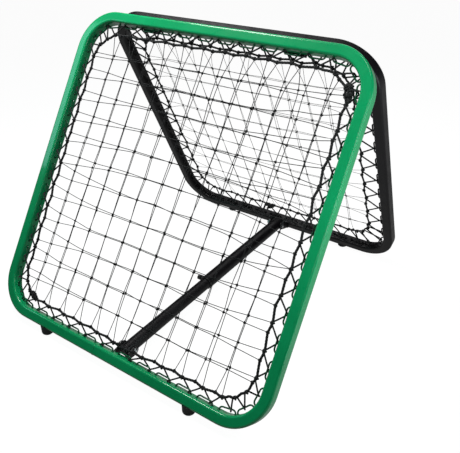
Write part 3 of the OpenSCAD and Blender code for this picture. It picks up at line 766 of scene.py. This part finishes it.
def bundle(b, side, net, u0, long, big, out, seed, tails):
    """Where rope and lacing are tied off: a lumpy winding of cord round the rope, with hitches across it and cut tails."""
    r = np.random.RandomState(seed)

    def spot(e):
        c, c2 = net.rope_at(u0 + e), net.rope_at(u0 + e + 0.001)
        t = (c2 - c) / np.linalg.norm(c2 - c)
        w = np.cross(t, side.eq)
        if np.dot(w, side.to(np.array(0.0), np.array(side.size / 2), np.array(D / 2)) - c) > 0:
            w = -w
        lump = math.exp(-(e / (long * 0.55)) ** 2)
        return c + w * out * lump, t, w, lump

    es = np.linspace(-long / 2, long / 2, 15)
    core = np.array([spot(e)[0] for e in es])
    tube(b, smooth(core, 2), np.interp(np.linspace(0, 1, 29), [0, 0.2, 0.5, 0.8, 1], [0.4, 0.74, 0.8, 0.7, 0.4]) * big, 12)
    turns, passes = max(4, int(long / 0.0042)), 3
    t = np.linspace(0, 1, 40 * passes)
    saw = np.abs(np.mod(t * passes, 2.0) - 1.0) - 0.5
    pts = []
    for k, (q, e) in enumerate(zip(t, saw)):
        c, tt, w, lump = spot(e * long)
        rad = big * (0.62 + 0.30 * lump) * (0.9 + 0.16 * q) + 0.0008 * math.sin(k * 0.9 + seed) + 0.0007 * math.sin(k * 0.37)
        a = 2 * math.pi * turns * q
        pts.append(c + rad * (math.cos(a) * w + 0.86 * math.sin(a) * side.eq))
    tube(b, smooth(np.array(pts), 4), LACE_R, 8, radius=lambda th, a: 1 + 0.05 * np.sin(8 * th + a * 2100))
    for k in range(max(2, int(long / 0.014))):  # hitches lying across the turns
        c, tt, w, lump = spot(r.uniform(-0.3, 0.3) * long)
        q = np.linspace(0, 2 * math.pi, 30, endpoint=False)
        x, y, z = np.sin(q) + 2 * np.sin(2 * q), np.cos(q) - 2 * np.cos(2 * q), -1.2 * np.sin(3 * q)
        g = r.uniform(-0.9, 0.9)
        A = math.cos(g) * w - math.sin(g) * side.eq
        B = math.sin(g) * w + math.cos(g) * side.eq
        ctr = c + (-B if k % 2 else B) * big * 0.72
        tube(b, ctr + 0.0021 * (x[:, None] * tt + y[:, None] * A * 0.9 + z[:, None] * B), LACE_R, 8, closed=True)
    for k in range(tails):
        c, tt, w, lump = spot(r.uniform(-0.45, 0.45) * long)
        d = w * r.uniform(-1, 0.5) + tt * r.uniform(-0.9, 0.9) - side.eq * r.uniform(0.0, 0.7)
        d = d / np.linalg.norm(d)
        ln = big + r.uniform(0.004, 0.010)
        tail = [c + d * ln * q - UP * 0.006 * q * q for q in np.linspace(0.3, 1, 9)]
        tube(b, np.array(tail), LACE_R * np.linspace(1, 1.15, 9), 8)


def tied_knots(side, net):
    b = Build()
    for at, long, big, out, seed, tails in side.knots:
        bundle(b, side, net, at * net.loop.length, long, big, out, seed, tails)
    return put(b.obj(side.name + "_tied_knots"), "lace", "rope_cord", side.body, side.name + "_rope_knots")


# the rope's wide bows, as (place round it from 0 to 1, width, inwards by), its knots, as (place, length,
# radius, outwards by, seed, tails), how far the lacing and the strands draw it out and in, where each rail's
# lacing turns beside its arches' middles and how far along it holds the rope, and the strands' lean across x
FRONT.pulls = [(0.014, 0.060, -0.005), (0.999, 0.16, -0.0015), (0.20, 0.070, 0.005)]
FRONT.knots = [(0.3655, 0.034, 0.0050, 0.0095, 3, 5), (0.8868, 0.024, 0.0062, 0.001, 5, 4)]
FRONT.draw = [(0.0036, 0.0014), (0.0034, 0.0014), (0.0020, 0.0012), (0.0030, 0.0014)]
FRONT.slip, FRONT.share, FRONT.lean = (0, 0.003, 0.0146, 0.0), (0.53, 0.52, 0.62, 0.5), (0.0015, 0.011)
REAR.pulls = [(0.0, 0.20, 0.003)]
REAR.knots = [(0.982, 0.026, 0.0066, 0.006, 8, 4)]
REAR.draw = [(0.0030, 0.0016)] * 4
REAR.slip, REAR.share, REAR.lean = (0.004, -0.004, 0.006, 0.0), (0.5, 0.45, 0.55, 0.5), (-0.001, -0.004)


def dress(side, tube_mat, tube_slot):
    tube_frame(side, tube_mat, tube_slot)
    lace = Lace(side)
    # the arches take the frame paint's _wire material; for the green frame this is darkened as painted shade
    lace_loops(side, lace, tube_mat + "_wire", tube_slot)
    net = Net(side, lace)
    net.build()
    border_rope(side, net)
    lacing(side, net, lace)
    tied_knots(side, net)
    return net


net_f = dress(FRONT, "green", "green_paint")
net_r = dress(REAR, "black", "black_paint")

# ------------------------------------------------------------------ pieces carried over from the CAD
CARRY = {
    "front_rubber_feet": ("rubber", "foot_rubber"), "rear_rubber_feet": ("rubber", "foot_rubber"),
    "strut_bracket_front": ("black_part", "black_paint"), "strut_bracket_rear": ("black_part", "black_paint"),
    "strut_bolt_front": ("zinc", "zinc_steel"), "strut_nut_front": ("zinc", "zinc_steel"),
    "strut_washers_front": ("zinc", "zinc_steel"), "strut_bolt_rear": ("zinc", "zinc_steel"),
    "strut_nut_rear": ("zinc", "zinc_steel"), "hinge_leaves_front": ("black_part", "black_paint"),
    "hinge_leaves_rear": ("black_part", "black_paint"), "hinge_pins": ("zinc", "zinc_steel"),
    "hinge_rivets_front": ("zinc", "zinc_steel"), "hinge_rivets_rear": ("zinc", "zinc_steel"),
    "strut_outer_tube": ("black_tube", "black_paint"), "strut_inner_tube": ("black_tube", "black_paint"),
    "clamp_boss": ("black_part", "black_paint"), "strut_guide_sleeve": ("plastic", "black_plastic"),
    "strut_rear_plug": ("plastic", "black_plastic"), "strut_front_plug": ("plastic", "black_plastic"),
    "strut_slide_plug": ("plastic", "black_plastic"), "clamp_nose": ("nylon", "nylon"),
    "clamp_screw": ("zinc", "zinc_steel"), "clamp_knob": ("plastic", "black_plastic"),
}
for n, (mat, slot) in CARRY.items():
    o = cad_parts[n]
    o.data.materials.clear()
    o.data.materials.append(M[mat])

# ------------------------------------------------------------------ stage, light and camera
def stage():
    m, nt, s = tree("pale_floor")
    nt.links.new(ramp(nt, noise(nt, 1.5, 2.0, 0.5), [(0.3, (0.115, 0.115, 0.115)), (0.7, (0.125, 0.125, 0.125))]), s.inputs["Base Color"])
    s.inputs["Roughness"].default_value = 0.9
    s.inputs["Specular IOR Level"].default_value = 0.0
    glow = node(nt, "ShaderNodeEmission")
    glow.inputs["Color"].default_value = (1.0, 1.0, 1.0, 1.0)
    glow.inputs["Strength"].default_value = 0.965
    path = node(nt, "ShaderNodeLightPath")
    both, pick = node(nt, "ShaderNodeAddShader"), node(nt, "ShaderNodeMixShader")
    nt.links.new(s.outputs[0], both.inputs[0])
    nt.links.new(glow.outputs[0], both.inputs[1])
    shine = node(nt, "ShaderNodeEmission")
    shine.inputs["Strength"].default_value = 0.30
    low, shiny = node(nt, "ShaderNodeAddShader"), node(nt, "ShaderNodeMixShader")
    nt.links.new(s.outputs[0], low.inputs[0])
    nt.links.new(shine.outputs[0], low.inputs[1])
    nt.links.new(path.outputs["Is Glossy Ray"], shiny.inputs[0])
    nt.links.new(s.outputs[0], shiny.inputs[1])
    nt.links.new(low.outputs[0], shiny.inputs[2])
    nt.links.new(path.outputs["Is Camera Ray"], pick.inputs[0])
    nt.links.new(shiny.outputs[0], pick.inputs[1])
    nt.links.new(both.outputs[0], pick.inputs[2])
    nt.links.new(pick.outputs[0], nt.nodes["Material Output"].inputs["Surface"])
    me = bpy.data.meshes.new("pale_floor")
    k = 14.0
    me.from_pydata([(-k, -k, -0.0005), (k, -k, -0.0005), (k, k, -0.0005), (-k, k, -0.0005)], [], [(0, 1, 2, 3)])
    o = bpy.data.objects.new("pale_floor", me)
    bpy.context.scene.collection.objects.link(o)
    me.materials.append(m)


stage()


def studio():
    world = bpy.data.worlds.new("studio")
    world.use_nodes = True
    nt = world.node_tree
    seen = nt.nodes["Background"]
    seen.inputs["Color"].default_value = (1.0, 1.0, 1.0, 1.0)
    seen.inputs["Strength"].default_value = 1.0
    fill = nt.nodes.new("ShaderNodeBackground")
    fill.inputs["Color"].default_value = (0.97, 0.985, 1.0, 1.0)
    fill.inputs["Strength"].default_value = 0.02
    path, pick = nt.nodes.new("ShaderNodeLightPath"), nt.nodes.new("ShaderNodeMixShader")
    nt.links.new(path.outputs["Is Camera Ray"], pick.inputs[0])
    nt.links.new(fill.outputs[0], pick.inputs[1])
    nt.links.new(seen.outputs[0], pick.inputs[2])
    nt.links.new(pick.outputs[0], nt.nodes["World Output"].inputs["Surface"])
    bpy.context.scene.world = world


studio()


def area(name, loc, target, size, power, colour=(1, 1, 1), roll=0.0):
    l = bpy.data.lights.new(name, "AREA")
    l.shape = "RECTANGLE"
    l.size, l.size_y = size
    l.energy = power
    l.color = colour
    o = bpy.data.objects.new(name, l)
    d = np.array(target, float) - np.array(loc, float)
    d /= np.linalg.norm(d)
    z = -d
    x = np.cross(UP, z) if abs(z[2]) < 0.999 else np.array([1.0, 0, 0])
    x /= np.linalg.norm(x)
    y = np.cross(z, x)
    a = math.radians(roll)
    x, y = x * math.cos(a) + y * math.sin(a), y * math.cos(a) - x * math.sin(a)
    o.matrix_world = Matrix(((x[0], y[0], z[0], loc[0]), (x[1], y[1], z[1], loc[1]), (x[2], y[2], z[2], loc[2]), (0, 0, 0, 1)))
    o.visible_camera = False
    bpy.context.scene.collection.objects.link(o)
    return o


area("soft_key", (-0.44, -0.10, 1.42), (-0.08, -0.08, 0.5), (0.55, 0.36), 12.2)
area("soft_right", (0.46, -0.10, 1.40), (0.40, -0.06, 0.5), (0.26, 0.36), 1.7)
area("soft_left", (-1.50, -0.86, 1.13), (-0.37, -0.08, 0.48), (0.36, 0.74), 3.5, (0.47, 1.0, 0.96), 30.0)
area("edge_right", (0.67, -0.25, 0.60), (0.38, -0.06, 0.54), (0.14, 0.4), 1.0, (0.9, 1.0, 1.0), -33.0)
area("side_right", (0.66, -0.06, 0.32), (0.38, -0.15, 0.33), (0.10, 0.74), 0.95, (0.85, 1.0, 1.0), -33.0)
area("near_lens", (0.71, -1.05, 1.15), (-0.36, -0.1, 0.45), (0.14, 1.0), 1.9, (1, 1, 1), -24.0)
area("soft_back", (-0.2, 1.5, 1.5), (0, 0, 0.3), (1.2, 0.8), 4.0)

C = (0.750958, -0.994239, 0.910972)
RIGHT, DOWN, FWD = (0.820648, 0.571410, -0.005247), (0.285470, -0.417906, -0.862474), (-0.495019, 0.706289, -0.506075)
cam = bpy.data.cameras.new("camera")
cam.sensor_fit = "HORIZONTAL"
cam.sensor_width = 36.0
cam.lens = 578.635 * 36.0 / 460.0
cam.clip_start, cam.clip_end = 0.02, 60.0
cam.dof.use_dof = False
co = bpy.data.objects.new("camera", cam)
co.matrix_world = Matrix(((RIGHT[0], -DOWN[0], -FWD[0], C[0]), (RIGHT[1], -DOWN[1], -FWD[1], C[1]),
                          (RIGHT[2], -DOWN[2], -FWD[2], C[2]), (0, 0, 0, 1)))
bpy.context.scene.collection.objects.link(co)
bpy.context.scene.camera = co
bpy.context.scene.view_settings.view_transform = "Standard"
bpy.context.scene.view_settings.look = "None"
